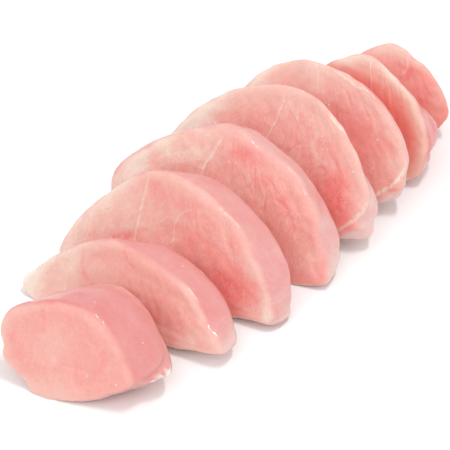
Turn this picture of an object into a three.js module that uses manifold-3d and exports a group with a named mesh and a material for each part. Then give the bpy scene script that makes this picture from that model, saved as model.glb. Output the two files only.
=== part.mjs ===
// A raw turkey breast fillet cut across into eight thick steaks that still lie in its shape:
// a shingled row, each slice leaning back on the next. Millimetres, +Z up, the row along +Y.
import * as THREE from 'three';
import { mergeVertices } from 'three/addons/utils/BufferGeometryUtils.js';
import Module from 'manifold-3d';

const wasm = await Module();
wasm.setup();

// Driving dimensions, one value for each slice from the small front end to the small back end.
// Across is along the slice's base line, up is along its leaning cut face.
const PLACE_ACROSS = [0, -4.5, -6, -4.5, -4, -2, 4.5, 6.5];
const PLACE_ALONG = [-118, -71.5, -41.5, -9.5, 19.5, 50, 80, 119.5];
const YAW_DEG = [10, 2, 3, 9, 6, 9, 10, 20];
const LEAN_DEG = [28, 29, 30, 30, 30, 31, 30, 30];
const THICKNESS = [21, 18, 18, 18, 17, 18, 19, 18];

// The front cut face: how far it reaches to the left and right, its height, where its crest
// stands, how high the widest point lies on each side and how square each shoulder is
const FRONT_LEFT = [28, 52, 53, 51.5, 51, 44.5, 35, 25];
const FRONT_RIGHT = [31, 45, 51, 53.5, 51.5, 49.5, 39, 27.5];
const FRONT_HIGH = [39.5, 37, 51.5, 60, 68.5, 64.5, 58.5, 47];
const FRONT_CREST = [4, -13.5, -10.5, -6, 8.5, -9, 1.5, -4.5];
const WIDE_LEFT = [21, 7, 5, 26.5, 14, 14.5, 13.5, 13];
const WIDE_RIGHT = [10.5, 6, 4, 5.5, 13.5, 19.5, 22, 14.5];
const SQUARE_LEFT = [2.1, 1.3, 1.6, 1.35, 1.9, 1.65, 1.75, 1.9];
const SQUARE_RIGHT = [1.55, 1.8, 1.65, 1.75, 1.75, 2.25, 1.45, 1.5];
const LOWEST = [-1.5, -9.5, -8.5, 0, -5, -3, 7.5, -2];
const LOW_SQUARE_LEFT = [1.6, 2.4, 2.4, 2.4, 2.4, 2.4, 2.4, 2.4];
const LOW_SQUARE_RIGHT = [3, 2.6, 2.4, 2.4, 2.4, 2.4, 2.4, 2.2];
// The lower right corner of the front face curls up off the floor by this much
const CURL = [12, 6.5, 5.5, 1, 10, 9.5, 2.5, 4];

// The back cut face, measured from the point straight behind the front one
const BACK_LEFT = [16.5, 41.5, 46, 52.5, 51, 44, 34, 25];
const BACK_RIGHT = [38.5, 44, 53.5, 52, 50.5, 38.5, 36.5, 19.5];
const BACK_HIGH = [34, 30.5, 44.5, 49, 45, 46.5, 40.5, 34];
const BACK_CREST = [6, 1, 4.5, -6, -11.5, -16.5, -17.5, -10];
// How far the soft back face sags towards the next slice
const SAG = [20, 8, 8.5, 6.3, 9, 5.5, 13, 4];

// How much the skin side swells between the two cut faces
const RIM_SWELL = 1.2;
// Each outline wavers a little, in broad waves and finer ones
const BROAD_WAVE = 0.5;
const FINE_WAVE = 0.3;
// Bumps and dents of a slice's rim, such as ragged flakes of fat and soft corners: which slice, at
// what angle round its outline, how deep between its faces, how wide an angle they take, how long
// a stretch of the depth, and how far they stand out
const BUMPS = [
  { slice: 0, angle: 3.65, depth: 0, spread: 0.13, stretch: 0.5, out: 1.6 },
  { slice: 0, angle: 4.08, depth: 0, spread: 0.16, stretch: 0.5, out: -1.6 },
  { slice: 0, angle: -0.38, depth: 0.8, spread: 0.14, stretch: 0.35, out: 4 },
  { slice: 0, angle: -0.92, depth: 0.4, spread: 0.25, stretch: 0.5, out: -1.8 },
  { slice: 1, angle: 0.84, depth: 0, spread: 0.2, stretch: 0.3, out: 1.8 },
  { slice: 1, angle: 0.45, depth: 0, spread: 0.15, stretch: 0.3, out: -1.8 },
  { slice: 1, angle: 0.5, depth: 0.8, spread: 0.25, stretch: 0.35, out: 1.2 },
  { slice: 1, angle: 2.95, depth: 0.3, spread: 0.12, stretch: 0.3, out: 1.2 },
  { slice: 1, angle: -0.2, depth: 0.4, spread: 0.22, stretch: 0.5, out: 2.6 },
  { slice: 2, angle: 0.9, depth: 0, spread: 0.15, stretch: 0.3, out: 1.5 },
  { slice: 2, angle: 0.45, depth: 0.8, spread: 0.25, stretch: 0.35, out: 1.4 },
  { slice: 2, angle: 2, depth: 0, spread: 0.25, stretch: 0.5, out: 1.1 },
  { slice: 2, angle: -0.44, depth: 0.45, spread: 0.16, stretch: 0.4, out: 2.6 },
  { slice: 3, angle: 1.2, depth: 0, spread: 0.17, stretch: 0.4, out: -2.5 },
  { slice: 3, angle: 0.38, depth: 0, spread: 0.12, stretch: 0.3, out: -1.8 },
  { slice: 3, angle: 0.25, depth: 0.7, spread: 0.2, stretch: 0.3, out: 1.1 },
  { slice: 4, angle: 0.08, depth: 0, spread: 0.16, stretch: 0.22, out: -3.2 },
  { slice: 4, angle: 0.38, depth: 0, spread: 0.12, stretch: 0.3, out: 1.6 },
  { slice: 4, angle: -0.45, depth: 0, spread: 0.2, stretch: 0.22, out: -2.6 },
  { slice: 4, angle: -0.58, depth: 0.42, spread: 0.28, stretch: 0.28, out: 5 },
  { slice: 4, angle: 0.25, depth: 0.7, spread: 0.18, stretch: 0.3, out: 1.8 },
  { slice: 5, angle: -0.4, depth: 0, spread: 0.22, stretch: 0.22, out: -4.2 },
  { slice: 5, angle: 0.05, depth: 0, spread: 0.1, stretch: 0.22, out: -1.4 },
  { slice: 5, angle: -0.58, depth: 0.42, spread: 0.28, stretch: 0.28, out: 5 },
  { slice: 6, angle: -0.28, depth: 0.5, spread: 0.13, stretch: 0.4, out: -1.8 },
  { slice: 6, angle: 0.22, depth: 0.75, spread: 0.15, stretch: 0.3, out: 1.5 },
  { slice: 7, angle: 1.06, depth: 0, spread: 0.12, stretch: 0.4, out: -1.4 },
  { slice: 7, angle: 0.8, depth: 0, spread: 0.12, stretch: 0.4, out: 0.8 },
];
// Squareness of the slice's edges, front and back
const EDGE_FRONT = 10;
const EDGE_BACK = 3.2;
// The slices settle into the surface that they lie on, and are flat there
const SETTLE = 1.5;

// Resolution of a slice: steps round its outline and from its front pole to its back one
const ROUND_STEPS = 44;
const DEPTH_STEPS = 16;

const RAW_MEAT = { color: 0xeeaaa2, roughness: 0.35, metalness: 0 };

const mix = (a, b, t) => a + (b - a) * t;
const power = (value, exponent) => Math.sign(value) * Math.abs(value) ** exponent;

// One point of the outline at an angle, for a depth between the front face (0) and the back one (1):
// four quarters of superellipses that meet at the crest, the two widest points and the lowest one
function outlinePoint(i, depth, angle) {
  const left = mix(FRONT_LEFT[i], BACK_LEFT[i], depth);
  const right = mix(FRONT_RIGHT[i], BACK_RIGHT[i], depth);
  const high = mix(FRONT_HIGH[i], BACK_HIGH[i], depth);
  const crest = mix(FRONT_CREST[i], BACK_CREST[i], depth);
  const onRight = Math.cos(angle) >= 0;
  const above = Math.sin(angle) >= 0;
  const wideHeight = onRight ? WIDE_RIGHT[i] : WIDE_LEFT[i];
  const middle = above ? crest : LOWEST[i];
  const reach = onRight ? right - middle : left + middle;
  const shoulder = onRight ? SQUARE_RIGHT[i] : SQUARE_LEFT[i];
  const lowCorner = onRight ? LOW_SQUARE_RIGHT[i] : LOW_SQUARE_LEFT[i];
  const square = above ? shoulder : lowCorner;
  const rise = above ? high - wideHeight : wideHeight;
  const across = middle + reach * power(Math.cos(angle), 2 / square);
  let up = wideHeight + rise * power(Math.sin(angle), 2 / square);
  const nearRight = THREE.MathUtils.clamp((across - middle) / right, 0, 1);
  const nearFloor = THREE.MathUtils.clamp(1 - up / 20, 0, 1);
  up += CURL[i] * (1 - depth) * nearRight * nearFloor;
  return [across, up];
}

// How far the outline stands out at an angle and depth beyond its plain form
function unevenness(i, depth, angle) {
  let out = BROAD_WAVE * Math.sin(3 * angle + 1.7 * i) + FINE_WAVE * Math.sin(5 * angle + 2.9 * i);
  for (const bump of BUMPS.filter((one) => one.slice === i)) {
    const turned = angle - bump.angle;
    const aside = (turned - 2 * Math.PI * Math.round(turned / (2 * Math.PI))) / bump.spread;
    const behind = (depth - bump.depth) / bump.stretch;
    out += bump.out * Math.exp(-(aside ** 2) - behind ** 2);
  }
  return out;
}

// One slice: rings of the outline from the front pole over the rim to the back pole
function sliceGeometry(i) {
  const yaw = THREE.MathUtils.degToRad(YAW_DEG[i]);
  const lean = THREE.MathUtils.degToRad(LEAN_DEG[i]);
  const acrossAxis = new THREE.Vector3(Math.cos(yaw), Math.sin(yaw), 0);
  const backAxis = new THREE.Vector3(-Math.sin(yaw), Math.cos(yaw), 0);
  const upAxis = new THREE.Vector3(0, 0, Math.cos(lean)).addScaledVector(backAxis, Math.sin(lean));
  const foot = new THREE.Vector3(PLACE_ACROSS[i], PLACE_ALONG[i], -SETTLE);
  const shear = THICKNESS[i] / Math.cos(lean);
  const positions = [];
  const index = [];
  for (let step = 0; step <= DEPTH_STEPS; step += 1) {
    const walk = 2 * step / DEPTH_STEPS - 1;
    const turn = Math.PI / 2 * power(walk, 1.6);
    const edge = walk < 0 ? EDGE_FRONT : EDGE_BACK;
    const rho = (1 - Math.sin(turn) ** 2) ** (1 / edge);
    const through = 0.5 + 0.5 * power(Math.sin(turn), 2 / edge);
    const sag = walk > 0 ? SAG[i] * (1 - rho ** 2) : 0;
    for (let k = 0; k < ROUND_STEPS; k += 1) {
      const angle = 2 * Math.PI * k / ROUND_STEPS;
      const [across, up] = outlinePoint(i, through, angle);
      const middleAcross = (FRONT_RIGHT[i] - FRONT_LEFT[i]) / 2;
      const middleUp = 0.42 * FRONT_HIGH[i];
      const away = Math.hypot(across - middleAcross, up - middleUp);
      const swell = RIM_SWELL * Math.cos(turn) + unevenness(i, through, angle);
      const scale = rho * (away + swell) / away;
      const a = middleAcross + (across - middleAcross) * scale;
      const u = middleUp + (up - middleUp) * scale;
      const point = foot.clone()
        .addScaledVector(acrossAxis, a)
        .addScaledVector(upAxis, u)
        .addScaledVector(backAxis, shear * through + sag / Math.cos(lean));
      positions.push(point.x, point.y, point.z);
    }
  }
  for (let step = 0; step < DEPTH_STEPS; step += 1) {
    for (let k = 0; k < ROUND_STEPS; k += 1) {
      const next = (k + 1) % ROUND_STEPS;
      const a = step * ROUND_STEPS + k;
      const b = step * ROUND_STEPS + next;
      const c = a + ROUND_STEPS;
      const d = b + ROUND_STEPS;
      if (step > 0) index.push(a, d, b);
      if (step < DEPTH_STEPS - 1) index.push(a, c, d);
    }
  }
  const geometry = new THREE.BufferGeometry();
  geometry.setAttribute('position', new THREE.Float32BufferAttribute(positions, 3));
  geometry.setIndex(index);
  return mergeVertices(geometry, 1e-4);
}

function toManifold(geometry) {
  const plain = geometry.clone();
  plain.deleteAttribute('normal');
  plain.deleteAttribute('uv');
  const merged = mergeVertices(plain, 1e-4);
  return new wasm.Manifold(new wasm.Mesh({
    numProp: 3,
    vertProperties: new Float32Array(merged.attributes.position.array),
    triVerts: new Uint32Array(merged.index.array),
  }));
}

function toGeometry(manifold) {
  const mesh = manifold.getMesh();
  const geometry = new THREE.BufferGeometry();
  geometry.setAttribute('position', new THREE.BufferAttribute(new Float32Array(mesh.vertProperties), 3));
  geometry.setIndex(new THREE.BufferAttribute(new Uint32Array(mesh.triVerts), 1));
  geometry.computeVertexNormals();
  return geometry;
}

// Everything below the resting surface is cut off, which leaves a flat underside
const belowSurface = new THREE.BoxGeometry(400, 600, 40);
belowSurface.translate(0, 0, -20);
const surfaceCutter = toManifold(belowSurface);

const fillet = new THREE.Group();
const box = new THREE.Box3();
for (let i = 0; i < PLACE_ALONG.length; i += 1) {
  const solid = toManifold(sliceGeometry(i)).subtract(surfaceCutter);
  const slice = new THREE.Mesh(toGeometry(solid), new THREE.MeshStandardMaterial(RAW_MEAT));
  slice.name = `steak_${i + 1}`;
  slice.geometry.computeBoundingBox();
  box.union(slice.geometry.boundingBox);
  fillet.add(slice);
}

// The origin stands on the surface below the middle of the whole row
const middle = box.getCenter(new THREE.Vector3());
for (const slice of fillet.children) {
  slice.position.set(-middle.x, -middle.y, 0);
}

export default fillet;
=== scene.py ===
import math
import bpy
import numpy as np
from bpy.props import FloatProperty, FloatVectorProperty, IntProperty, PointerProperty
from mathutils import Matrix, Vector


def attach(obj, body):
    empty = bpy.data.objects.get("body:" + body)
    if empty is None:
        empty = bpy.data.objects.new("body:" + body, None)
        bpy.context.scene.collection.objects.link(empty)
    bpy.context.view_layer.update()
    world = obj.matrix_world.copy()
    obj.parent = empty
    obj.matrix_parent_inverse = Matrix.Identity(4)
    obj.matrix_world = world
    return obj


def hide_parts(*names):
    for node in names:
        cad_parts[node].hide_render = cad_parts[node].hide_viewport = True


# A raw turkey breast fillet cut across into eight steaks that still lie in its shape.
# Each steak is one grid surface that replaces its CAD solid, with a wet raw meat finish.

bl_info = {
    "name": "Sliced turkey breast",
    "version": (1, 0, 0),
    "blender": (4, 5, 0),
    "location": "View3D > Sidebar > Turkey",
    "description": "Makes eight raw turkey breast steaks in a shingled row, and a plain pale stage",
    "category": "Add Mesh",
}

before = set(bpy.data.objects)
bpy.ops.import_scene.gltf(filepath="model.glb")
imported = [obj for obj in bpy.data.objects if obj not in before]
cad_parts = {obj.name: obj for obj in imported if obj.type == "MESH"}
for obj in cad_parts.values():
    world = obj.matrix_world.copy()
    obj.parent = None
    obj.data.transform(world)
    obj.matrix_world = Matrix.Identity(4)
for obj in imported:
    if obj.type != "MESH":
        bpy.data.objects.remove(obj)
SLICES = 8
MM = 0.001


def metres(*millimetres):
    """Millimetres as Blender's metres."""
    return tuple(value * MM for value in millimetres)


def angles(*degrees):
    """Degrees as Blender's radians."""
    return tuple(math.radians(value) for value in degrees)


def linear(red, green, blue):
    """A colour on the 0 to 255 display scale, as the linear values that a shader takes."""
    shares = (channel / 255 for channel in (red, green, blue))
    return tuple(s / 12.92 if s <= 0.04045 else ((s + 0.055) / 1.055) ** 2.4 for s in shares)


def lengths(name, description, *millimetres):
    """A property with one length for each slice."""
    return FloatVectorProperty(name=name, description=description, size=SLICES, unit="LENGTH",
                               default=metres(*millimetres))


def turns(name, description, *degrees):
    """A property with one angle for each slice."""
    return FloatVectorProperty(name=name, description=description, size=SLICES,
                               subtype="NONE", unit="ROTATION", default=angles(*degrees))


def shares(name, description, *values):
    """A property with one plain number for each slice."""
    return FloatVectorProperty(name=name, description=description, size=SLICES, default=values)


def colour(name, description, *display):
    """A colour property, from its values on the display scale."""
    return FloatVectorProperty(name=name, description=description, subtype="COLOR", min=0, max=1,
                               default=linear(*display))


class SliceShape(bpy.types.PropertyGroup):
    """Sizes of the eight slices, from the small front end of the row to the small back end."""
    place_across: lengths("Place across", "Where the slice's base line stands across the row",
                          0, -4.5, -6, -4.5, -4, -2, 4.5, 6.5)
    place_along: lengths("Place along", "Where the slice's base line stands along the row",
                         -118, -71.5, -41.5, -9.5, 19.5, 50, 80, 119.5)
    yaw: turns("Yaw", "How far the slice is turned about the vertical", 10, 2, 3, 9, 6, 9, 10, 20)
    lean: turns("Lean", "How far the slice leans back", 28, 29, 30, 30, 30, 31, 30, 30)
    thickness: lengths("Thickness", "Between the two cut faces", 21, 18, 18, 18, 17, 18, 19, 18)
    front_left: lengths("Front left", "Reach of the front face to the left",
                        28, 52, 53, 51.5, 51, 44.5, 35, 25)
    front_right: lengths("Front right", "Reach of the front face to the right",
                         31, 45, 51, 53.5, 51.5, 49.5, 39, 27.5)
    front_high: lengths("Front height", "Height of the front face along its lean",
                        39.5, 37, 51.5, 60, 68.5, 64.5, 58.5, 47)
    front_crest: lengths("Front crest", "Where the front face is highest",
                         4, -13.5, -10.5, -6, 8.5, -9, 1.5, -4.5)
    wide_left: lengths("Widest left", "Height of the widest point on the left",
                       21, 7, 5, 26.5, 14, 14.5, 13.5, 13)
    wide_right: lengths("Widest right", "Height of the widest point on the right",
                        10.5, 6, 4, 5.5, 13.5, 19.5, 22, 14.5)
    square_left: shares("Left shoulder", "Squareness of the left shoulder",
                        2.1, 1.3, 1.6, 1.35, 1.9, 1.65, 1.75, 1.9)
    square_right: shares("Right shoulder", "Squareness of the right shoulder",
                         1.55, 1.8, 1.65, 1.75, 1.75, 2.25, 1.45, 1.5)
    lowest: lengths("Lowest", "Where the slice is lowest", -1.5, -9.5, -8.5, 0, -5, -3, 7.5, -2)
    low_square_left: shares("Low left corner", "Squareness of the low left corner",
                            1.6, 2.4, 2.4, 2.4, 2.4, 2.4, 2.4, 2.4)
    low_square_right: shares("Low right corner", "Squareness of the low right corner",
                             3, 2.6, 2.4, 2.4, 2.4, 2.4, 2.4, 2.2)
    curl: lengths("Curl", "How far the low right corner of the front face curls up",
                  12, 6.5, 5.5, 1, 10, 9.5, 2.5, 4)
    back_left: lengths("Back left", "Reach of the back face to the left",
                       16.5, 41.5, 46, 52.5, 51, 44, 34, 25)
    back_right: lengths("Back right", "Reach of the back face to the right",
                        38.5, 44, 53.5, 52, 50.5, 38.5, 36.5, 19.5)
    back_high: lengths("Back height", "Height of the back face",
                       34, 30.5, 44.5, 49, 45, 46.5, 40.5, 34)
    back_crest: lengths("Back crest", "Where the back face is highest",
                        6, 1, 4.5, -6, -11.5, -16.5, -17.5, -10)
    sag: lengths("Sag", "How far the soft back face sags to the next slice",
                 20, 8, 8.5, 6.3, 9, 5.5, 13, 4)
    fan_across: lengths("Fan across", "Where the fibres' directions meet, across",
                        -6, -14, -12, -5, 3, -3, 4, -5)
    fan_up: lengths("Fan up", "Where the fibres' directions meet, above the face",
                    54, 54, 80, 76, 84, 82, 76, 62)
    rim_swell: FloatProperty(name="Rim swell", unit="LENGTH", default=1.2 * MM,
                             description="How far the skin side swells between the cut faces")
    settle: FloatProperty(name="Settle", unit="LENGTH", default=1.5 * MM,
                          description="How far the slices settle into the surface that they lie on")
    offset: FloatVectorProperty(name="Row's place", unit="LENGTH", default=metres(6.7108, -18.4999, 0),
                                description="Puts the middle of the row at the origin")
    edge_front: FloatProperty(name="Front edge", default=9, description="Squareness of the front edge")
    edge_back: FloatProperty(name="Back edge", default=3.2, description="Squareness of the back edge")
    round_steps: IntProperty(name="Steps round", default=300, description="Points round a slice")
    front_steps: IntProperty(name="Front steps", default=92, description="Rings of the front half")
    back_steps: IntProperty(name="Back steps", default=56, description="Rings of the back half")


class MeatColours(bpy.types.PropertyGroup):
    """Colours of the raw meat."""
    # Painted shade: the first colour is the deep coral shade where the slices meet, laid in at the low end
    # of the tones
    shade_between_slices: colour("Shade between slices", "Deepest flesh, where slices meet", 226, 97, 93)
    coral: colour("Coral", "Deep flesh in the middle of a cut face", 235, 130, 124)
    pink: colour("Pink", "The common colour of a cut face", 234, 160, 151)
    pale: colour("Pale", "Pale flesh", 234, 188, 175)
    cream: colour("Cream", "The palest edges of a cut face", 237, 217, 202)
    rosy_deep: colour("Deep rosy", "The deepest of the skin side", 220, 125, 123)
    rosy: colour("Rosy", "The common colour of the skin side", 224, 155, 151)
    rosy_pale: colour("Pale rosy", "The palest of the skin side", 228, 189, 182)
    fat: colour("Fat", "Flakes of fat and thin membranes", 240, 234, 226)
    face_tone: shares("Face tone", "How pale each cut face is, from crevice at 0 to cream at 1",
                      0.52, 0.75, 0.63, 0.67, 0.6, 0.56, 0.54, 0.72)
    edge_tone: shares("Edge tone", "How pale each cut face's border is on the right",
                      0.56, 0.74, 0.66, 0.6, 0.7, 0.72, 0.85, 0.76)
    edge_left: shares("Left edge tone", "How pale each cut face's border is on the left",
                      0.72, 0.9, 0.88, 0.9, 1.12, 1.06, 0.88, 0.98)
    edge_line: shares("Edge line", "How much paler the cut face's outermost line is",
                      0.03, 0.04, 0.1, 0.08, 0.14, 0.08, 0.06, 0.06)
    # Painted shade: deep coral painted close beyond the outline of the slice in front, where the slices
    # meet and light cannot reach, deeper low on the right
    gap_shade_depth: shares("Gap shade depth", "How deep the colour is beside the slice in front",
                       0, 0.3, 0.24, 0.14, 0.16, 0.26, 0.76, 0.5)
    low_gap_shade_depth: shares("Low gap shade depth", "How much deeper it is low on the right",
                     0, 0.1, 0.36, 0.2, 0.36, 0.16, 0, 0.1)
    gap_shade_reach: lengths("Gap shade reach", "How far that colour reaches", 0, 2.4, 1.6, 2, 2.4, 2.4, 4.3, 3.2)
    warmth: shares("Warmth", "How orange the flesh is", 0, 0, 0, 0, 0, 0, 0.7, 0.2)
    skin_tone: shares("Skin tone", "How pale each skin side is",
                      0.26, 0.33, 0.48, 0.64, 0.78, 0.76, 0.24, 0.56)
    # Partly the skin's own paler low part, partly painted light that lifts the shade of the skin side where
    # it faces the floor
    low_skin_paler_and_painted_light: shares("Low skin tone", "How much paler each skin side is near the floor",
                     0.4, 0.95, 0.3, 0.7, 1.1, 0.5, 0.46, 0.2)
    skin_high: shares("High skin tone", "How much deeper each skin side is high on the right",
                      0, 0, 0, 0, 0.6, 0.85, 0, 0)
    border_left: lengths("Left border", "Width of the cream border on the left",
                         6, 6, 12, 14, 20, 15, 9, 6)
    border_right: lengths("Right border", "Width of the cream border on the right",
                          5, 4, 6, 11, 10, 9, 7, 7)
    border_soft: shares("Border softness", "How gradually the border ends, as a share of its width",
                        0.9, 0.9, 0.9, 0.6, 0.8, 0.9, 0.8, 0.8)
    streaks: shares("Streaks", "How clear each face's fibres are", 0.6, 0.8, 1.1, 1.2, 1.1, 0.8, 0.55, 0.7)
    bundles: shares("Bundles", "How clearly each slice shows its bundles of fibres",
                    0.1, 0.15, 0.2, 0.9, 0.9, 0.6, 0.3, 0.2)


class StageSettings(bpy.types.PropertyGroup):
    """The floor, the light and the camera."""
    azimuth: FloatProperty(name="Azimuth", unit="ROTATION", default=math.radians(35),
                           description="The camera's bearing round the row")
    elevation: FloatProperty(name="Elevation", unit="ROTATION", default=math.radians(33.7),
                             description="The camera's height above the horizon")
    distance: FloatProperty(name="Distance", unit="LENGTH", default=0.77,
                            description="From the camera to the middle of the row")
    lens: FloatProperty(name="Lens", default=147.2, description="Focal length in millimetres")
    aim: FloatVectorProperty(name="Aim", unit="LENGTH", default=metres(6.71, -18.5, 20),
                             description="The point that the camera looks at")
    world: FloatProperty(name="Surround", default=0.86, description="Brightness of the white surround")
    fill: FloatProperty(name="Fill light", default=3.6, description="Power of the broad light in front")
    glint: FloatProperty(name="Glint light", default=3.4, description="Power of the small light overhead")
    floor: colour("Floor", "The plain pale floor", 250, 250, 250)


# Pale sinews and dark folds in each slice's cut face: width in mm, strength, and points across and up in
# mm.
# The pale lines along the upper right ridges of slices 2, 3 and 4 are partly a pale membrane and partly a
# painted highlight for the glints on those ridges
SINEWS_AND_GLINT_LINES = {
    # Partly a pale membrane, partly a painted highlight along the ridge
    2: [(0.7, 0.8, [(13.1, 34.7), (18.3, 33.2), (23.3, 31.1)])],
    3: [(0.6, 0.5, [(-19.7, 47.5), (-19.5, 36), (-19.2, 28.7), (-18.8, 19)]),
        (0.5, 0.4, [(3.2, 40.7), (-1.6, 37.1), (-2.7, 32.9), (-0.9, 22)]),
        (0.4, 0.25, [(-33, 30), (-34.5, 22), (-34, 12)]),
        # Partly a pale membrane, partly a painted highlight along the ridge
        (0.6, 0.8, [(15.9, 44.6), (20.9, 42.3), (26.6, 39.4)])],
    4: [(0.8, 0.6, [(-6.1, 53.5), (-8.8, 46), (-10.6, 42.1), (-12.4, 35)]),
        # Partly a pale membrane, partly a painted highlight along the ridge
        (0.6, 1, [(25.9, 48.9), (29.3, 47), (33.4, 43.3), (36.1, 39.7)])],
    5: [(0.7, 0.5, [(1.7, 61), (0.3, 52.6), (-2.5, 42)]),
        (0.5, 0.3, [(4, 60.2), (9.3, 54.9), (14.8, 48.8)]),
        (0.6, 0.7, [(24.4, 58.8), (32, 53.7), (38.6, 48.5), (43.2, 41.8)]),
        (1.4, 0.8, [(50.6, 28.6), (48.7, 23.7), (45.8, 19), (42.9, 15.9), (39.9, 13.3)])],
    6: [(0.5, 0.3, [(7.3, 57.5), (9.5, 53.7), (9.4, 50.5), (5.3, 47.8)]),
        (0.5, 0.25, [(-0.8, 60.4), (0.9, 50.8)]),
        (0.6, 0.5, [(-1.7, 63.9), (4.3, 62.9), (12.2, 60.1), (20.1, 57)]),
        (1.4, 0.9, [(47.3, 34.2), (48.3, 28.7), (47.1, 23.9), (43.7, 19.1), (38.4, 14.2)])],
    7: [(0.5, 0.5, [(3.2, 55.3), (5, 48.3), (7.5, 39.8)])],
    8: [(0.6, 0.45, [(4.7, 40.6), (5.5, 36.5), (4.7, 34.1), (2.5, 32.9)])],
}
FOLDS = {
    1: [(1, 0.6, [(-13, 38.6), (-10.8, 38), (-8.1, 37.6)]),
        (1.6, 0.3, [(-11.1, 34), (-9.6, 31.2), (-8.8, 27.5)]),
        (2.4, 0.14, [(8.7, 10.5), (13.6, 13.8), (17.5, 19.6), (17.8, 26)]),
        (2, 0.12, [(-0.5, 35.2), (4.3, 31), (7.5, 25.9)])],
    2: [(1.3, 0.36, [(-25.3, 28.8), (-25, 24.7), (-23.3, 21), (-20.1, 18.6)]),
        (1, 0.4, [(-6.7, 34.5), (-3.8, 31.6), (-0.9, 30.1)])],
    3: [(1.8, 0.5, [(-28.2, 19.4), (-26.8, 20.6)]),
        (1.8, 0.5, [(-22.8, 21), (-21.4, 22.2)])],
    4: [(0.6, 0.3, [(11.8, 45.4), (14, 36.4), (14.3, 33.7), (15.8, 30.2)]),
        (0.6, 0.34, [(19.3, 36), (19.2, 33.8), (19.8, 30.1), (19, 26.7)]),
        (0.7, 0.24, [(12.6, 48.1), (15.9, 43.3), (20.1, 41.8), (22.4, 39.5), (25.2, 37.5)]),
        (0.6, 0.3, [(24.5, 35.2), (31.3, 31.9), (29.3, 28.6), (28, 24.9)]),
        (0.6, 0.26, [(36.2, 28.2), (32.4, 24.7), (31.8, 22.2)]),
        (0.5, 0.2, [(6.9, 41.2), (9.7, 37.5), (13.3, 34.1)])],
    5: [(0.7, 0.34, [(13.7, 44.9), (11.6, 43.8), (10.3, 41.7), (8.8, 40.2)]),
        (0.5, 0.22, [(20, 40.9), (20.2, 37), (21.2, 33.3)]),
        (0.5, 0.2, [(21.5, 35.2), (24, 36.4), (26.1, 37.4), (28.8, 36.5)]),
        (0.5, 0.2, [(23, 32.1), (26, 33.6), (28.7, 34.8)]),
        (0.6, 0.22, [(27.9, 44.1), (31.8, 41.2), (33.9, 37.9)]),
        (0.6, 0.28, [(32.8, 36.4), (33.5, 32.7)]),
        (0.6, 0.26, [(37.3, 25.4), (40.6, 26.8)])],
    8: [(0.9, 0.16, [(-7.1, 40.5), (-1.1, 40.8)]),
        (0.9, 0.16, [(-5.4, 37.2), (-1.3, 38), (2.5, 37.3)]),
        (0.9, 0.2, [(-4, 35.5), (-0.5, 36.7), (3.8, 36)]),
        (2.2, 0.3, [(7, 42), (7.2, 36.5), (6, 32.2)])],
}
# How high fibres and a sinew of strength 1 stand and how deep a fold lies, in mm, and how much
# paler sinews and folds are; on the ridge lines the paler tone is partly a painted highlight
FIBRE_HEIGHT = 0.08
SINEW_HEIGHT = 0.2
FOLD_DEPTH = 0.4
SINEW_AND_GLINT_LINE_TONE = 0.42
FOLD_TONE = -0.36
# Bumps and dents of each slice's rim: angle round it, depth between its faces, how wide an angle,
# how long a stretch of the depth and how far out in mm
BUMPS = {
    1: [(3.65, 0, 0.13, 0.5, 1.6), (4.08, 0, 0.16, 0.5, -1.6), (-0.38, 0.8, 0.14, 0.35, 4),
        (-0.92, 0.4, 0.25, 0.5, -1.8)],
    2: [(0.84, 0, 0.2, 0.3, 1.8), (0.45, 0, 0.15, 0.3, -1.8), (0.5, 0.8, 0.25, 0.35, 1.2),
        (2.95, 0.3, 0.12, 0.3, 1.2), (-0.2, 0.4, 0.22, 0.5, 2.6)],
    3: [(0.9, 0, 0.15, 0.3, 1.5), (0.45, 0.8, 0.25, 0.35, 1.4), (2, 0, 0.25, 0.5, 1.1),
        (-0.44, 0.45, 0.16, 0.4, 2.6)],
    4: [(1.2, 0, 0.17, 0.4, -2.5), (0.38, 0, 0.12, 0.3, -1.8), (0.25, 0.7, 0.2, 0.3, 1.1)],
    5: [(0.08, 0, 0.16, 0.22, -3.2), (0.38, 0, 0.12, 0.3, 1.6), (-0.45, 0, 0.2, 0.22, -2.6),
        (-0.58, 0.42, 0.28, 0.28, 5), (0.25, 0.7, 0.18, 0.3, 1.8)],
    6: [(-0.4, 0, 0.22, 0.22, -4.2), (0.05, 0, 0.1, 0.22, -1.4), (-0.58, 0.42, 0.28, 0.28, 5)],
    7: [(-0.28, 0.5, 0.13, 0.4, -1.8), (0.22, 0.75, 0.15, 0.3, 1.5)],
    8: [(1.06, 0, 0.12, 0.4, -1.4), (0.8, 0, 0.12, 0.4, 0.8)],
}
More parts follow.
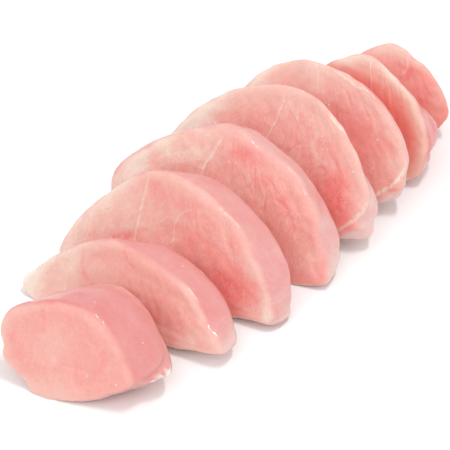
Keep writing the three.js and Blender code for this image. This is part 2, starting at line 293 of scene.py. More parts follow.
# Paler and deeper places in each cut face: across, up, reach across and reach up in mm, and how
# much paler
CLOUDS = {
    1: [(-4, 23, 9, 7, 0.1), (-3, 4, 17, 6, 0.18)],
    2: [(-47, 12, 5, 12, 0.4), (-28, 24, 8, 5, 0.1), (0, 24, 12, 7, 0.04), (24, 13, 9, 8, 0.02),
        (32, 3, 14, 5, 0.3), (33, 10, 5, 5, 0.4), (11, 14, 6, 5, -0.18), (-18, 22, 5, 5, 0.14)],
    3: [(0, 41, 7, 4, -0.14), (12, 37, 10, 7, -0.14), (-32, 35, 13, 11, 0.08),
        (-25, 20, 4, 2, -0.12), (24, 28, 8, 7, 0.04), (27, 15, 7, 7, -0.2), (44, 4, 12, 7, 0.4),
        (45, 9, 6, 7, 0.6), (26, 32.5, 5, 4, -0.2), (-15, 44, 7, 4, -0.16), (-13, 27, 9, 4, 0.14)],
    4: [(-18, 45, 10, 6, 0.08), (4, 50, 10, 4, -0.28), (46, 15, 5, 9, 0.2), (-34, 38, 4, 5, -0.12),
        (17, 42, 7, 4, -0.19), (29, 35, 6, 4, -0.18), (-12, 54.5, 8, 3.5, 0.16),
        (-14, 45, 6, 5, 0.14), (-31, 45, 5, 4, 0.13), (-43, 35, 5, 5, 0.12)],
    5: [(36, 22, 9, 10, -0.13), (36, 34, 6, 7, -0.17), (12, 36, 10, 6, 0.08), (-3, 46, 6, 4, -0.04),
        (-34, 42, 10, 6, 0.14), (1, 46, 5, 5, 0.16), (25, 33.5, 5, 5, 0.14),
        (28, 46.5, 6, 4, -0.13), (38, 28, 5, 9, -0.08)],
    6: [(12, 45, 5, 4, -0.1), (35, 26, 7, 6, 0.2), (-3, 54, 8, 5, 0.08), (22, 41, 7, 7, -0.12),
        (41, 20, 4, 8, 0.25), (38, 36, 5, 4, -0.15), (-3, 60, 12, 4, 0.12)],
    7: [(1, 46, 5, 6, -0.06), (30, 15, 6, 6, 0.12), (19, 35, 4, 8, -0.06), (11, 40, 8, 4, -0.12),
        (32.5, 21, 3.5, 9, 0.13), (-5, 53, 10, 4, 0.26), (16, 51, 7, 4, 0.18)],
    8: [(14, 26, 4, 10, -0.1), (-6, 39, 9, 6, 0.22), (22, 27, 5, 10, 0.3), (17, 21, 3, 7, -0.13)],
}
# Ragged flakes of fat on each rim, told as its bumps are
FLAKES = {
    1: [(-0.5, 0.64, 0.22, 0.18, 1.6)],
    2: [(2.95, 0.25, 0.25, 0.5, 0.3)],
}
# Layers of noise: height in mm, size in mm and seed
DIMPLES = ((0.55, 21, 1), (0.34, 9, 2))
CUT_GRIT = ((0.12, 3, 3),)
SKIN_CREASES = ((0.12, 5, 4),)
RIDGE_RAGS = ((0.3, 6, 5), (0.16, 2.5, 6))
# Cubes along each side of the noise before it repeats
LATTICE = 32
# How much each pattern changes the tone of a cut face
TONES = {"bands": 0.18, "streaks": 0.22, "hairs": 0.24, "mottle": 0.24, "grit": 0.16,
         "network": 0.03, "threads": 0.06, "bundles": 0.1, "bundle edges": -0.13, "drops_and_painted_glints": 0.3}
# Waves for each metre of the patterns that run through all the meat
WAVES = {"sway": 60.0, "soft": 75.0, "painted_glint_patches": 90.0, "veins": 150.0, "mottle": 190.0, "drops": 270.0,
         "pores": 330.0, "grit": 700.0}
# How wet raw meat shines and lets light in
WET = {"IOR": 1.4, "Subsurface Weight": 0.25, "Subsurface Radius": (1.0, 0.35, 0.25),
       "Subsurface Scale": 0.003, "Coat Weight": 0.6, "Coat Roughness": 0.08, "Coat IOR": 1.4}
# Near-white painted on the drops: a painted highlight that stands for their glints
PAINTED_GLINT_WHITE = (0.92, 0.9, 0.88, 1.0)
# Width and height of the picture, and how far its frame is shifted right and up, in pixels
PICTURE = 450
SHIFT = (-2.4, -7.3)
# The lamps: size across and along in metres, and place from the point that the camera looks at
LAMPS = {"overhead": (0.34, 0.05, (0.24, 0.13, 1.06)), "in_front": (1.0, 1.0, (0.1, -1.15, 0.95))}


def mix(a, b, share):
    """From a to b by a share between 0 and 1."""
    return a + (b - a) * share


def power(value, exponent):
    """A power that keeps the sign."""
    return np.sign(value) * np.abs(value) ** exponent


def ease(value, low, high):
    """0 below low and 1 above high, by 3t² - 2t³ between."""
    t = np.clip((value - low) / (high - low), 0, 1)
    return t * t * (3 - 2 * t)


def lattice_noise(points, size, seed):
    """Smooth noise from -1 to 1: random values at the corners of cubes of a size, blended along
    each axis by 3t² - 2t³."""
    table = np.random.default_rng(seed).uniform(-1, 1, (LATTICE, LATTICE, LATTICE))
    scaled = points / size
    cell = np.floor(scaled).astype(int)
    part = scaled - cell
    part = part * part * (3 - 2 * part)
    total = np.zeros(points.shape[:-1])
    for corner in np.ndindex(2, 2, 2):
        weight = np.prod(np.where(corner, part, 1 - part), axis=-1)
        spot = (cell + corner) % LATTICE
        total += weight * table[spot[..., 0], spot[..., 1], spot[..., 2]]
    return total


def layered(points, layers):
    """A sum of noises in mm, from their heights, sizes and seeds."""
    return sum(height * lattice_noise(points, size * MM, seed) for height, size, seed in layers)


def outline(shape, i, depth, angle):
    """The outline at an angle, for a depth of 0 at the front face to 1 at the back one. Four
    quarters of superellipses meet at the crest, the two widest points and the lowest one:
    across = middle + reach cos^(2/square), up = widest height + rise sin^(2/square). The low
    right corner then curls up."""
    left = mix(shape.front_left[i], shape.back_left[i], depth)
    right = mix(shape.front_right[i], shape.back_right[i], depth)
    high = mix(shape.front_high[i], shape.back_high[i], depth)
    crest = mix(shape.front_crest[i], shape.back_crest[i], depth)
    on_right = np.cos(angle) >= 0
    above = np.sin(angle) >= 0
    wide = np.where(on_right, shape.wide_right[i], shape.wide_left[i])
    middle = np.where(above, crest, shape.lowest[i])
    reach = np.where(on_right, right - middle, left + middle)
    shoulder = np.where(on_right, shape.square_right[i], shape.square_left[i])
    low_corner = np.where(on_right, shape.low_square_right[i], shape.low_square_left[i])
    square = np.where(above, shoulder, low_corner)
    rise = np.where(above, high - wide, wide)
    across = middle + reach * power(np.cos(angle), 2 / square)
    up = wide + rise * power(np.sin(angle), 2 / square)
    near_right = np.clip((across - middle) / right, 0, 1)
    near_floor = np.clip(1 - up / (20 * MM), 0, 1)
    return across, up + shape.curl[i] * (1 - depth) * near_right * near_floor


def rim_bell(angle, depth, where, behind, spread, stretch):
    """A bell on the rim: 1 at its own angle and depth, and falling off with both."""
    away = (angle - where + math.pi) % (2 * math.pi) - math.pi
    return np.exp(-(away / spread) ** 2 - ((depth - behind) / stretch) ** 2)


def unevenness(i, depth, angle):
    """How far the outline stands out beyond its plain form, in metres: broad and fine waves round
    it, and a bell for each bump."""
    out = 0.5 * np.sin(3 * angle + 1.7 * i) + 0.3 * np.sin(5 * angle + 2.9 * i)
    for *place, height in BUMPS[i + 1]:
        out = out + height * rim_bell(angle, depth, *place)
    return out * MM


def half_profile(edge, count, radius, depth):
    """Half of a slice's section from a face's middle out to its rim, rho^edge + away^edge = 1,
    where rho is the share of the outline and away how near the face is. Its points are evenly
    spaced along the section."""
    samples = 1500
    even = np.linspace(0, 1, samples)
    rho = np.concatenate([even, (1 - even ** edge) ** (1 / edge)])
    away = np.concatenate([(1 - even ** edge) ** (1 / edge), even])
    order = np.lexsort((-away, rho))
    rho = rho[order]
    away = away[order]
    length = np.concatenate([[0], np.cumsum(np.hypot(np.diff(rho) * radius, np.diff(away) * depth / 2))])
    marks = np.linspace(0, length[-1], count)
    return np.interp(marks, length, rho), np.interp(marks, length, away)


def leftness(shape, i, a):
    """1 at the left end of a face, easing down to 0 at a quarter of the way out to it."""
    return ease(-a / shape.front_left[i], 0.25, 0.85)


def face_middle(shape, i):
    """Across and up of the point of a face that its rings are drawn in to."""
    share_up = 0.42
    return (shape.front_right[i] - shape.front_left[i]) / 2, share_up * shape.front_high[i]


def edge_reach(shape, i, depth, bearing):
    """The outline's distance from the face's middle at each bearing, its corners softened by a
    bell-weighted mean over a few degrees, and the outline's own angle there."""
    fine = 2880
    count = 720
    softness = 5
    middle_across, middle_up = face_middle(shape, i)
    angle = np.linspace(-math.pi, math.pi, fine + 1)[:-1]
    across, up = outline(shape, i, depth, angle)
    own = np.arctan2(up - middle_up, across - middle_across)
    order = np.argsort(own)

    def at(places, values):
        return np.interp(places, own[order], values[order], period=2 * math.pi)

    even = np.linspace(-math.pi, math.pi, count + 1)[:-1]
    steps = np.minimum(np.arange(count), count - np.arange(count))
    bell = np.exp(-(steps / softness) ** 2)
    away = np.fft.fft(at(even, np.hypot(up - middle_up, across - middle_across)))
    soft = np.fft.ifft(away * np.fft.fft(bell / bell.sum())).real
    turn = np.arctan2(at(bearing, np.sin(angle)), at(bearing, np.cos(angle)))
    return np.interp(bearing, even, soft, period=2 * math.pi), turn


def even_bearings(shape, i, count):
    """Bearings that space points evenly once round the outline from straight below its middle, and
    the way along the outline to each."""
    samples = 4001
    depth = 0.3
    fine = np.linspace(-math.pi / 2, 1.5 * math.pi, samples)
    reach, _ = edge_reach(shape, i, depth, fine)
    steps = np.hypot(np.diff(reach * np.cos(fine)), np.diff(reach * np.sin(fine)))
    length = np.concatenate([[0], np.cumsum(steps)])
    marks = np.arange(count) * length[-1] / count
    return np.interp(marks, length, fine), marks


def slice_axes(shape, i):
    """The slice's directions across, back and up its face, and its foot."""
    yaw = shape.yaw[i]
    lean = shape.lean[i]
    across = np.array([math.cos(yaw), math.sin(yaw), 0])
    back = np.array([-math.sin(yaw), math.cos(yaw), 0])
    up = np.array([0, 0, math.cos(lean)]) + back * math.sin(lean)
    foot = np.array([shape.place_across[i], shape.place_along[i], -shape.settle])
    return across, back, up, foot + np.array(shape.offset)


def slice_surface(shape, i):
    """A slice's points: each ring is the outline at its depth, drawn in by rho about the face's
    middle, set out along the slice's across and up directions, and moved back by its depth and,
    on the back face, by the sag. Returns the points and their places on the slice."""
    across_way, back_way, up_way, foot = slice_axes(shape, i)
    lean = shape.lean[i]
    radius = (shape.front_left[i] + shape.front_right[i] + shape.front_high[i]) / 3
    rho_front, away_front = half_profile(shape.edge_front, shape.front_steps, radius, shape.thickness[i])
    rho_back, away_back = half_profile(shape.edge_back, shape.back_steps, radius, shape.thickness[i])
    rho = np.concatenate([rho_front, rho_back[-2::-1]])[:, None]
    through = np.concatenate([0.5 - 0.5 * away_front, 0.5 + 0.5 * away_back[-2::-1]])[:, None]
    edge = np.where(through <= 0.5, shape.edge_front, shape.edge_back)
    bulge = rho ** (edge / 2)
    bearing, rimwise = (row[None, :] for row in even_bearings(shape, i, shape.round_steps))
    middle_across, middle_up = face_middle(shape, i)
    front, turn = edge_reach(shape, i, 0, bearing)
    back, _ = edge_reach(shape, i, 1, bearing)
    reach = mix(front, back, through) + shape.rim_swell * bulge + unevenness(i, through, turn)
    rim = np.stack([reach * np.cos(bearing), reach * np.sin(bearing),
                    shape.thickness[i] * through + 0.1 * i + 0 * bearing], axis=-1)
    low = ease(-np.sin(bearing), 0, 0.5)
    rag = 0.35 * lattice_noise(rim, 9 * MM, 21) + (0.2 + 0.6 * low) * lattice_noise(rim, 3.5 * MM, 22)
    rag = rag + 0.25 * low * lattice_noise(rim, 1.8 * MM, 23)
    for *place, height in FLAKES.get(i + 1, []):
        rag = rag + height * rim_bell(turn, through, *place) * (1 + lattice_noise(rim, 1.5 * MM, 24))
    reach = reach + rag * bulge * MM
    a = middle_across + rho * reach * np.cos(bearing)
    u = middle_up + rho * reach * np.sin(bearing)
    sag = np.where(through > 0.5, shape.sag[i] * (1 - rho ** 2), 0)
    depth = (shape.thickness[i] * through + sag) / math.cos(lean) + 0 * bearing
    points = foot + a[..., None] * across_way + u[..., None] * up_way + depth[..., None] * back_way
    inset = (1 - rho) * reach
    deep = shape.thickness[i] * through + 0 * bearing
    return points, a, u, deep, inset, turn + 0 * rho, rimwise + 0 * rho


def neighbour_reach(shape, i, points):
    """How far points stand beyond the outline of the slice in front, seen along the row: their
    distance from its middle less the outline's in the same direction."""
    across_way, _, up_way, foot = slice_axes(shape, i - 1)
    offset = points - foot
    middle_across, middle_up = face_middle(shape, i - 1)
    a = offset @ across_way - middle_across
    u = offset[..., 2] / up_way[2] - middle_up
    edge, _ = edge_reach(shape, i - 1, 1.0, np.arctan2(u, a))
    return np.hypot(a, u) - edge - shape.rim_swell


def surface_normals(points):
    """Outward directions of a ringed surface, square to its ring and profile directions."""
    round_way = np.roll(points, -1, axis=1) - np.roll(points, 1, axis=1)
    profile_way = np.gradient(points, axis=0)
    normal = np.cross(round_way, profile_way)
    normal /= np.linalg.norm(normal, axis=-1, keepdims=True) + 1e-12
    outwards = np.sum(normal * (points - points.mean(axis=(0, 1))))
    return normal * np.sign(outwards)


def line_distance(a, u, points):
    """Distance in metres from each place on the face to a line through points in mm."""
    nearest = np.full(a.shape, 1.0)
    for (x0, y0), (x1, y1) in zip(points, points[1:]):
        x0, y0, x1, y1 = metres(x0, y0, x1, y1)
        square = (x1 - x0) ** 2 + (y1 - y0) ** 2
        share = np.clip(((a - x0) * (x1 - x0) + (u - y0) * (y1 - y0)) / square, 0, 1)
        gap = np.hypot(a - x0 - share * (x1 - x0), u - y0 - share * (y1 - y0))
        nearest = np.minimum(nearest, gap)
    return nearest


def fibre_places(shape, i, a, u):
    """Places across and along the fibres, which fan out from a point above the face: the bearing
    from that point times a share of its height, and the distance from it."""
    share = 0.6
    left = a - shape.fan_across[i]
    down = shape.fan_up[i] - u
    return np.arctan2(left, down) * shape.fan_up[i] * share, np.hypot(left, down)


def slice_relief(shape, i, points, a, u, deep, inset, skin):
    """Height of the slice's relief in metres: broad dimples all over, a border that stands up
    round the cut faces, fibres, folds and sinews on them, faint creases on the skin side and a
    ragged ridge between the two."""
    spot = points + np.array([0.31, 0.17, 0.23]) * (i + 1)
    cut = 1 - skin
    grain_across, grain_along = fibre_places(shape, i, a, u)
    grain = np.stack([grain_across / 1.3, grain_along / 9, 0 * a + i], axis=-1)
    ridge = np.exp(-((deep - 1.0 * MM) / (1.6 * MM)) ** 2)
    front = ease(-deep, -5 * MM, -3 * MM)
    height = layered(spot, DIMPLES)
    height += cut * (FIBRE_HEIGHT * lattice_noise(grain, MM, 11) + layered(spot, CUT_GRIT))
    height -= cut * front * (0.5 * ease(inset, 1.5 * MM, 8 * MM) + 0.6 * ease(inset, 8 * MM, 26 * MM))
    height += skin * layered(spot, SKIN_CREASES) + ridge * layered(spot, RIDGE_RAGS)
    for width, strength, line in FOLDS.get(i + 1, []):
        half = (0.3 + width * 0.8) * MM
        height -= front * cut * strength * FOLD_DEPTH * np.exp(-(line_distance(a, u, line) / half) ** 2)
    for width, strength, line in SINEWS_AND_GLINT_LINES.get(i + 1, []):
        height += front * cut * strength * SINEW_HEIGHT * np.exp(-(line_distance(a, u, line) / MM) ** 2)
    return height * MM


def face_tone(shape, colours, i, points, a, u, deep, inset):
    """How pale the cut faces are, from 0 to 1: each slice's own tone, a paler border, its paler
    and deeper places, and painted shade: deep coral close beyond the outline of the slice in front."""
    broad = lattice_noise(points + 0.37 * (i + 1), 12 * MM, 31)
    leftwards = leftness(shape, i, a)
    width = mix(colours.border_right[i], colours.border_left[i], leftwards)
    fine = lattice_noise(points, 3 * MM, 33)
    share = 1 - ease(inset / width + 0.16 * broad + 0.1 * fine, 1.1 - 1.1 * colours.border_soft[i], 1.1)
    border = mix(colours.edge_tone[i], colours.edge_left[i], leftwards)
    tone = mix(colours.face_tone[i] + 0.03 * broad, border, share)
    for across, up, reach_across, reach_up, paler in CLOUDS[i + 1]:
        way = ((a / MM - across) / reach_across) ** 2 + ((u / MM - up) / reach_up) ** 2
        tone = tone + paler * np.exp(-way) * ease(-deep, -6 * MM, -3 * MM)
    tone = tone + colours.edge_line[i] * np.exp(-(inset / (1.8 * MM)) ** 2)
    # Painted shade: the face is painted deep coral close beyond the outline of the slice in front, in the
    # shade between the slices, and more so low on the right
    if i > 0:
        beyond = np.clip(neighbour_reach(shape, i, points), 0, 1)
        low_right = ease(a, -0.2 * shape.front_left[i], 0.6 * shape.front_right[i])
        low_right = low_right * ease(-u, -0.75 * shape.front_high[i], -0.2 * shape.front_high[i])
        wider = 3.6 * MM
        coral = 0.08
        reach = colours.gap_shade_reach[i] + wider * low_right
        painted_gap_shade = np.exp(-(beyond / reach) ** 1.3) * (colours.gap_shade_depth[i] + colours.low_gap_shade_depth[i] * low_right)
        tone = mix(tone, coral, painted_gap_shade * ease(-deep, -6 * MM, -2 * MM))
    return tone


def skin_tone(colours, i, points, a, u):
    """How pale the skin side is, from 0 to 1: soft blotches, paler towards the floor, partly as
    painted light that lifts the shade where it faces down, and deeper high on the right."""
    blotches = 0.1 * lattice_noise(points + 0.53 * (i + 1), 14 * MM, 32)
    low = ease(-u, -22 * MM, -4 * MM)
    high = ease(u, 40 * MM, 52 * MM) * ease(a, 0, 16 * MM)
    return colours.skin_tone[i] + blotches + colours.low_skin_paler_and_painted_light[i] * low - colours.skin_high[i] * high


def soft_floor(height):
    """Heights that come to rest just above the floor: (z + sqrt(z² + s²)) / 2."""
    soft = 0.5 * MM
    return (height + np.sqrt(height ** 2 + soft ** 2)) / 2


def grid_mesh(name, points, vectors):
    """A closed mesh from rings of points whose first and last rings are single points, with named
    vector attributes."""
    rings, steps = points.shape[:2]
    ring_of = np.arange(1, rings - 2)[:, None] - 1
    step_of = np.arange(steps)
    follow = (step_of + 1) % steps
    quads = np.stack([ring_of * steps + step_of, (ring_of + 1) * steps + step_of,
                      (ring_of + 1) * steps + follow, ring_of * steps + follow], axis=-1).reshape(-1, 4) + 1
    last = (rings - 2) * steps + 1
    final = (rings - 3) * steps + 1
    front_fan = np.stack([0 * step_of, step_of + 1, follow + 1], axis=-1)
    back_fan = np.stack([0 * step_of + last, final + follow, final + step_of], axis=-1)

    def packed(values):
        return np.concatenate([values[0].mean(axis=0)[None], values[1:-1].reshape(-1, 3),
                               values[-1].mean(axis=0)[None]])

    mesh = bpy.data.meshes.new(name)
    mesh.from_pydata(packed(points).tolist(), [],
                     quads.tolist() + front_fan.tolist() + back_fan.tolist())
    for label, values in vectors.items():
        layer = mesh.attributes.new(label, "FLOAT_VECTOR", "POINT")
        layer.data.foreach_set("vector", packed(values).astype(np.float32).ravel())
    mesh.polygons.foreach_set("use_smooth", np.ones(len(mesh.polygons), dtype=bool))
    mesh.update()
    piece = bpy.data.objects.new(name, mesh)
    bpy.context.scene.collection.objects.link(piece)
    return piece


class Value:
    """A number or vector at every point of a surface. Arithmetic on it adds Math nodes."""

    def __init__(self, finish, socket):
        self.finish = finish
        self.socket = socket

    def math(self, operation, first, second=0.0):
        """One Math node on two numbers or sockets."""
        return self.finish.add("ShaderNodeMath", {"operation": operation}, {0: first, 1: second})

    def __add__(self, other):
        return self.math("ADD", self, other)

    def __sub__(self, other):
        return self.math("SUBTRACT", self, other)

    def __rsub__(self, other):
        return self.math("SUBTRACT", other, self)

    def __mul__(self, other):
        return self.math("MULTIPLY", self, other)

    __radd__ = __add__
    __rmul__ = __mul__


class Finish:
    """One material and its nodes."""

    def __init__(self, name):
        self.material = bpy.data.materials.new(name)
        self.material.use_nodes = True
        self.tree = self.material.node_tree
        self.tree.nodes.clear()

    def add(self, kind, settings=None, inputs=None, output=0):
        """Adds a node of a kind, sets its settings and then its sockets' values or links, and
        gives one of its outputs."""
        node = self.tree.nodes.new(kind)
        for key, value in (settings or {}).items():
            setattr(node, key, value)
        for key, value in (inputs or {}).items():
            if isinstance(value, Value):
                self.tree.links.new(value.socket, node.inputs[key])
            else:
                node.inputs[key].default_value = value
        return Value(self, node.outputs[output]) if node.outputs else None

    def attribute(self, name):
        """A vector attribute of the mesh."""
        return self.add("ShaderNodeAttribute", {"attribute_name": name}, output="Vector")

    def split(self, vector):
        """A vector's three numbers."""
        parts = self.add("ShaderNodeSeparateXYZ", inputs={0: vector})
        return [Value(self, socket) for socket in parts.socket.node.outputs]

    def vector(self, x, y, z=0.0):
        """A vector of three numbers."""
        return self.add("ShaderNodeCombineXYZ", inputs={0: x, 1: y, 2: z})

    def noise(self, vector, scale, detail=2.0):
        """Noise from about 0 to 1, with a scale in waves for each unit of the vector."""
        return self.add("ShaderNodeTexNoise", inputs={"Vector": vector, "Scale": scale, "Detail": detail})

    def step(self, value, low, high):
        """0 at low and 1 at high, eased between; low may be the larger."""
        return self.add("ShaderNodeMapRange", {"interpolation_type": "SMOOTHSTEP"},
                        {0: value, 1: low, 2: high})

    def blend(self, factor, first, second):
        """A colour between two colours."""
        settings = {"data_type": "RGBA"}
        return self.add("ShaderNodeMix", settings, {0: factor, 6: first, 7: second}, output=2)

    def tint(self, tone, stops, warmth=0.0):
        """A colour for a tone from 0 to 1, blended through evenly spaced colours. The warmth fades
        towards the last of them."""
        span = 1 / (len(stops) - 1)
        shade = rgba(stops[0], warmth)
        for number, stop in enumerate(stops[1:]):
            low = number * span
            high = (number + 1) * span
            share = self.add("ShaderNodeMapRange", inputs={0: tone, 1: low, 2: high})
            shade = self.blend(share, shade, rgba(stop, warmth * (1 - high)))
        return shade

    def line(self, place, points, width):
        """1 on a line through points in mm and 0 beyond its width in mm."""
        mask = None
        for start, end in zip(points, points[1:]):
            reach = (end[0] - start[0], end[1] - start[1], 0.0)
            square = reach[0] ** 2 + reach[1] ** 2
            offset = self.add("ShaderNodeVectorMath", {"operation": "SUBTRACT"},
                              {0: place, 1: (start[0], start[1], 0.0)})
            along = self.add("ShaderNodeVectorMath", {"operation": "DOT_PRODUCT"},
                             {0: offset, 1: reach}, output="Value")
            share = self.add("ShaderNodeMath", {"operation": "DIVIDE", "use_clamp": True},
                             {0: along, 1: square})
            nearest = self.add("ShaderNodeVectorMath", {"operation": "SCALE"}, {0: reach, "Scale": share})
            gap = self.add("ShaderNodeVectorMath", {"operation": "DISTANCE"},
                           {0: offset, 1: nearest}, output="Value")
            near = self.step(gap, width, width * 0.2)
            mask = near if mask is None else near.math("MAXIMUM", mask, near)
        return mask


def rgba(colour_property, warmth=0.0):
    """A colour property as the four values of a colour socket, with less blue where it is warmer."""
    red, green, blue = colour_property
    return (red, green, blue * (1 - 0.2 * warmth), 1.0)


def raw_meat(i, colours):
    """The finish of one slice: a pink cut face with fanned fibres, bundles, sinews and folds, and
    a smooth rosy skin side, all wet, with drops that have a real bump and are also painted near-white
    as a painted highlight for their glints."""
    m = Finish(f"raw_turkey_{i + 1}")
    across, up, depth = m.split(m.attribute("place"))
    skin, tone, blush = m.split(m.attribute("zone"))
    grain_across, grain_along, fat = m.split(m.attribute("grain"))
    streaky, bundled, rimwise = m.split(m.attribute("looks"))
    solid = m.add("ShaderNodeTexCoord", output="Object")
    sway = m.noise(solid, WAVES["sway"]) - 0.5
    bands = m.noise(m.vector(grain_across * 0.5 + sway * 5.0, grain_along * 0.1, float(i)), 1.0)
    streaks = m.noise(m.vector(grain_across * 1.2 + sway * 9.0, grain_along * 0.38, i + 4.0), 1.0, 3.0)
    hairs = m.noise(m.vector(grain_across * 2.4 + sway * 14.0, grain_along * 0.8, i + 8.0), 1.0)
    mottle = m.noise(solid, WAVES["mottle"], 5.0)
    grit = m.noise(solid, WAVES["grit"])
    veins = m.noise(solid, WAVES["veins"], 3.0) - 0.5
    network = m.step(veins.math("ABSOLUTE", veins), 0.035, 0.0) * m.step(mottle, 0.42, 0.58)
    threads = m.step(hairs, 0.56, 0.68) * m.step(mottle, 0.46, 0.6)
    shade = tone + (bands - 0.5) * TONES["bands"] * streaky + (streaks - 0.5) * TONES["streaks"] * streaky
    shade = shade + ((hairs - 0.5) * TONES["hairs"] + (mottle - 0.5) * TONES["mottle"]) * streaky
    shade = shade + (grit - 0.5) * TONES["grit"] + network * TONES["network"]
    shade = shade + threads * TONES["threads"] * streaky

    flat = m.vector(across, up)
    drift = m.add("ShaderNodeTexNoise", inputs={"Vector": flat, "Scale": 0.16}, output="Color")
    cells_at = m.add("ShaderNodeVectorMath", {"operation": "MULTIPLY_ADD"},
                     {0: drift, 1: (1.3, 1.3, 0.0),
                      2: m.vector(grain_across * 0.24, grain_along * 0.13, i * 3.0)})
    flat_cells = {"voronoi_dimensions": "2D"}
    cell_edge = m.add("ShaderNodeTexVoronoi", {**flat_cells, "feature": "DISTANCE_TO_EDGE"},
                      {"Vector": cells_at, "Scale": 1.0}, output="Distance")
    cell_tone = m.split(m.add("ShaderNodeTexVoronoi", flat_cells, {"Vector": cells_at, "Scale": 1.0},
                              output="Color"))[0]
    cell_line = m.step(cell_edge, 0.09, 0.0) * m.step(mottle, 0.4, 0.56)
    shade = shade + (cell_tone - 0.5) * TONES["bundles"] * bundled
    shade = shade + cell_line * TONES["bundle edges"] * bundled

    wander = m.add("ShaderNodeVectorMath", {"operation": "MULTIPLY_ADD"},
                   {0: drift, 1: (1.4, 1.4, 0.0), 2: m.vector(across - 0.7, up - 0.7)})
    front = m.step(depth, 5.0, 3.0)
    for marks, paler in ((FOLDS, FOLD_TONE), (SINEWS_AND_GLINT_LINES, SINEW_AND_GLINT_LINE_TONE)):
        for width, strength, points in marks.get(i + 1, []):
            broken = m.step(streaks, 0.3, 0.5) * front
            shade = shade + m.line(wander, points, width) * broken * (strength * paler)
    # Drops: small real bumps with less roughness, whose colour is also painted paler and near-white, a
    # painted highlight for their glints
    drops = m.add("ShaderNodeTexVoronoi", inputs={"Vector": solid, "Scale": WAVES["drops"]},
                  output="Distance")
    drops_and_painted_glints = m.step(drops, 0.1, 0.05) * m.step(m.noise(solid, WAVES["painted_glint_patches"], 1.0), 0.56, 0.6)
    shade = shade + drops_and_painted_glints * TONES["drops_and_painted_glints"]
    stops = (colours.shade_between_slices, colours.coral, colours.pink, colours.pale, colours.cream)
    face = m.tint(shade, stops, colours.warmth[i])

    soft = m.noise(solid, WAVES["soft"])
    creases = m.noise(m.vector(rimwise * 0.55, depth * 0.1 + sway * 3.0, i + 12.0), 1.0)
    low = m.step(up, 22.0, 6.0) * m.step(across, 0.0, 18.0)
    rim_shade = blush + (soft - 0.5) * 0.4 + (mottle - 0.5) * 0.36 + (grit - 0.5) * 0.3
    rim_shade = rim_shade + m.step(creases, 0.52, 0.66) * low * 0.35
    rim_shade = rim_shade + drops_and_painted_glints * TONES["drops_and_painted_glints"]
    rim = m.tint(rim_shade, (colours.rosy_deep, colours.rosy, colours.rosy_pale))
    body = m.blend(skin, face, rim)
    body = m.blend(fat, body, rgba(colours.fat))
    # Painted highlight: near-white on the drops
    body = m.blend(drops_and_painted_glints * 0.8, body, PAINTED_GLINT_WHITE)

    roughness = 0.44 - skin * 0.06 - drops_and_painted_glints * 0.2 + (soft - 0.5) * 0.2
    cut_height = (streaks * 0.6 + hairs * 0.35 + mottle * 0.4) * (1 - skin)
    pores = m.noise(solid, WAVES["pores"])
    height = cut_height + (soft * 0.4 + pores * 0.22) * skin + drops_and_painted_glints * 0.5
    bump = m.add("ShaderNodeBump", inputs={"Strength": 0.3, "Distance": 0.0006, "Height": height})
    surface = m.add("ShaderNodeBsdfPrincipled", inputs={
        **WET, "Base Color": body, "Roughness": roughness, "Normal": bump})
    m.add("ShaderNodeOutputMaterial", inputs={"Surface": surface})
    return m.material


def make_slice(i):
    """Makes one slice, gives it its finish and puts it in its solid's place."""
    scene = bpy.context.scene
    shape = scene.turkey_shape
    colours = scene.turkey_colours
    points, a, u, deep, inset, turn, rimwise = slice_surface(shape, i)
    thickness = shape.thickness[i]
    waver = 0.5 * MM * lattice_noise(points + 0.5, 5 * MM, 6)
    from_front = ease(deep + waver, 0.6 * MM, 2.4 * MM)
    from_back = ease(thickness - deep + waver, 0.8 * MM, 3 * MM)
    skin = np.minimum(from_front, from_back)
    relief = slice_relief(shape, i, points, a, u, deep, inset, skin)
    points = points + surface_normals(points) * relief[..., None]
    tone = face_tone(shape, colours, i, points, a, u, deep, inset)
    blush = skin_tone(colours, i, points, a, u)
    fat = 0 * a
    for *place, _ in FLAKES.get(i + 1, []):
        bell = rim_bell(turn, deep / thickness, *place)
        near = ease(-inset, -5 * MM, -1 * MM)
        fat = np.maximum(fat, ease(bell + 0.25 * lattice_noise(points, 2 * MM, 8), 0.25, 0.7) * near)
    streaky = colours.streaks[i] * mix(0.3 + 0.4 * leftness(shape, i, a), 1, ease(inset, 2 * MM, 9 * MM))
    bundled = colours.bundles[i] * ease(inset, 8 * MM, 14 * MM)
    points[..., 2] = soft_floor(points[..., 2])
    grain_across, grain_along = fibre_places(shape, i, a, u)
    piece = grid_mesh(f"turkey_steak_{i + 1}", points, {
        "place": np.stack([a, u, deep], axis=-1) / MM,
        "zone": np.stack([skin, tone, blush], axis=-1),
        "grain": np.stack([grain_across / MM, grain_along / MM, fat], axis=-1),
        "looks": np.stack([streaky, bundled, rimwise / MM], axis=-1),
    })
    piece.data.materials.append(raw_meat(i, colours))
    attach(piece, "root")
    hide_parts(f"steak_{i + 1}")


class TURKEY_OT_slices(bpy.types.Operator):
    """Make the eight slices of raw turkey breast"""
    bl_idname = "turkey.slices"
    bl_label = "Make slices"

    def execute(self, context):
        for i in range(SLICES):
            make_slice(i)
        return {"FINISHED"}


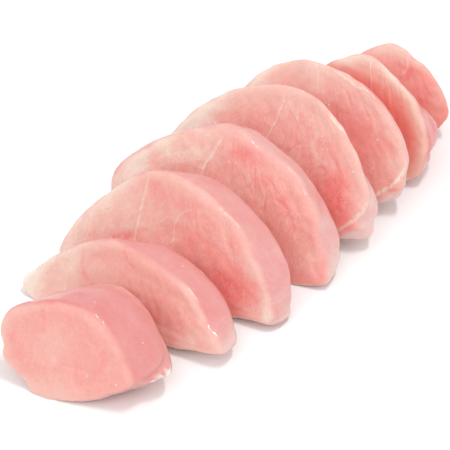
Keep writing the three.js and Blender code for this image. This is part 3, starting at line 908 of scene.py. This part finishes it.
class TURKEY_OT_stage(bpy.types.Operator):
    """Make the floor, the light and the camera"""
    bl_idname = "turkey.stage"
    bl_label = "Make stage"

    def execute(self, context):
        scene = context.scene
        stage = scene.turkey_stage
        mesh = bpy.data.meshes.new("floor")
        reach = 6.0
        mesh.from_pydata([(-reach, -reach, 0), (reach, -reach, 0), (reach, reach, 0), (-reach, reach, 0)],
                         [], [(0, 1, 2, 3)])
        floor = bpy.data.objects.new("floor", mesh)
        scene.collection.objects.link(floor)
        paint = Finish("pale_floor")
        matt = paint.add("ShaderNodeBsdfDiffuse", inputs={"Color": rgba(stage.floor)})
        paint.add("ShaderNodeOutputMaterial", inputs={"Surface": matt})
        mesh.materials.append(paint.material)

        world = bpy.data.worlds.new("white_surround")
        world.use_nodes = True
        surround = world.node_tree.nodes["Background"].inputs
        surround["Color"].default_value = (1, 1, 1, 1)
        surround["Strength"].default_value = stage.world
        scene.world = world

        aim = Vector(stage.aim)
        for name, watts in (("overhead", stage.glint), ("in_front", stage.fill)):
            wide, long, place = LAMPS[name]
            lamp = bpy.data.lights.new(name, "AREA")
            lamp.energy = watts
            lamp.shape = "RECTANGLE"
            lamp.size = wide
            lamp.size_y = long
            light = bpy.data.objects.new(name, lamp)
            light.location = aim + Vector(place)
            light.rotation_mode = "QUATERNION"
            light.rotation_quaternion = (aim - light.location).to_track_quat("-Z", "Y")
            scene.collection.objects.link(light)

        view = bpy.data.cameras.new("camera")
        view.lens = stage.lens
        view.sensor_width = 36
        view.shift_x = SHIFT[0] / PICTURE
        view.shift_y = SHIFT[1] / PICTURE
        view.clip_start = 0.01
        camera = bpy.data.objects.new("camera", view)
        flat = math.cos(stage.elevation)
        back = Vector((math.sin(stage.azimuth) * flat, -math.cos(stage.azimuth) * flat,
                       math.sin(stage.elevation)))
        camera.location = aim + back * stage.distance
        camera.rotation_mode = "QUATERNION"
        camera.rotation_quaternion = (-back).to_track_quat("-Z", "Y")
        scene.collection.objects.link(camera)
        scene.camera = camera
        scene.view_settings.view_transform = "Standard"
        return {"FINISHED"}


class TURKEY_PT_panel(bpy.types.Panel):
    """Lists the pieces and their sizes"""
    bl_idname = "TURKEY_PT_panel"
    bl_label = "Sliced turkey breast"
    bl_space_type = "VIEW_3D"
    bl_region_type = "UI"
    bl_category = "Turkey"

    def draw(self, context):
        scene = context.scene
        for operator, groups in (("turkey.slices", (scene.turkey_shape, scene.turkey_colours)),
                                 ("turkey.stage", (scene.turkey_stage,))):
            self.layout.operator(operator)
            for group in groups:
                for name in group.bl_rna.properties.keys():
                    if name not in ("rna_type", "name"):
                        self.layout.prop(group, name)


CLASSES = (SliceShape, MeatColours, StageSettings, TURKEY_OT_slices, TURKEY_OT_stage, TURKEY_PT_panel)


def register():
    for kind in CLASSES:
        bpy.utils.register_class(kind)
    bpy.types.Scene.turkey_shape = PointerProperty(type=SliceShape)
    bpy.types.Scene.turkey_colours = PointerProperty(type=MeatColours)
    bpy.types.Scene.turkey_stage = PointerProperty(type=StageSettings)


def unregister():
    del bpy.types.Scene.turkey_stage
    del bpy.types.Scene.turkey_colours
    del bpy.types.Scene.turkey_shape
    for kind in reversed(CLASSES):
        bpy.utils.unregister_class(kind)


def main():
    """Makes every piece and the stage."""
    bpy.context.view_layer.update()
    register()
    bpy.ops.turkey.slices()
    bpy.ops.turkey.stage()


if __name__ == "__main__":
    main()
